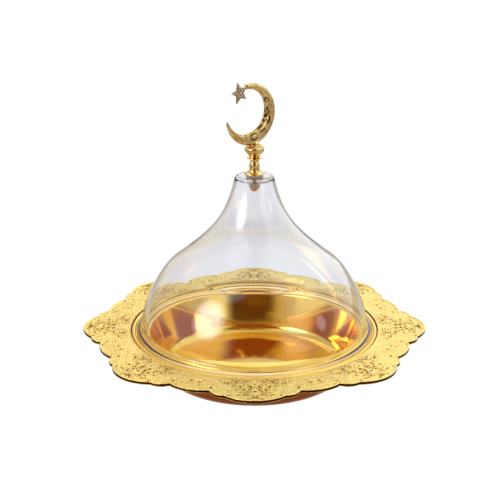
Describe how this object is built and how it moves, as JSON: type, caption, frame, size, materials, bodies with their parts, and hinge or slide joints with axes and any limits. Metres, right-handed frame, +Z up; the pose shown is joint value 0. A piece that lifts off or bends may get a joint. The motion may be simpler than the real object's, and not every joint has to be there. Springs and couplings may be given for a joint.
{
  "type": "covered cake plate",
  "caption": "Round bowl in a scalloped embossed rim under a clear bell-shaped lid with a crescent and star finial.",
  "frame": {"origin": "middle of the bowl's base on the table", "axes": "+Z up along the bowl's axis; the crescent of the finial stands in the XZ plane and the star's stones face -Y"},
  "size_m": [0.3424, 0.3424, 0.2951],
  "materials": {
    "gold_rim": "gold plated, embossed",
    "gold_bowl": "gold plated, mirror polished",
    "clear_acrylic": "clear polished",
    "clear_silicone": "translucent",
    "plain_steel": "plain",
    "gold_finial": "gold plated, polished",
    "stones": "faceted clear stones with a silvered back"
  },
  "bodies": {
    "plate": {"rim_ring": "gold_rim", "bowl": "gold_bowl"},
    "lid": {"dome": "clear_acrylic", "upper_washer": "clear_silicone"},
    "finial": {"tie_rod": "plain_steel", "finial_collar": "gold_finial", "finial_baluster": "gold_finial", "finial_disc": "gold_finial", "finial_knob": "gold_finial", "crescent": "gold_finial", "star": "gold_finial", "star_stones": "stones"},
    "fixing": {"cap_nut": "gold_finial", "steel_washer": "plain_steel", "lower_washer": "clear_silicone"}
  },
  "joints": [
    {"name": "lid_lift", "type": "slide", "parent": "plate", "child": "lid", "axis": [0, 0, 1], "range_m": [0, 0.2]},
    {"name": "finial_turn", "type": "hinge", "parent": "lid", "child": "finial", "pos_m": [0, 0, 0.2], "axis": [0, 0, 1], "range_deg": [0, 2520]},
    {"name": "fixing_drop", "type": "slide", "parent": "lid", "child": "fixing", "axis": [0, 0, -1], "range_m": [0, 0.0057]}
  ],
  "couplings": [
    {"joint": "fixing_drop", "follows": "finial_turn", "m_per_rad": 0.00012732}
  ]
}
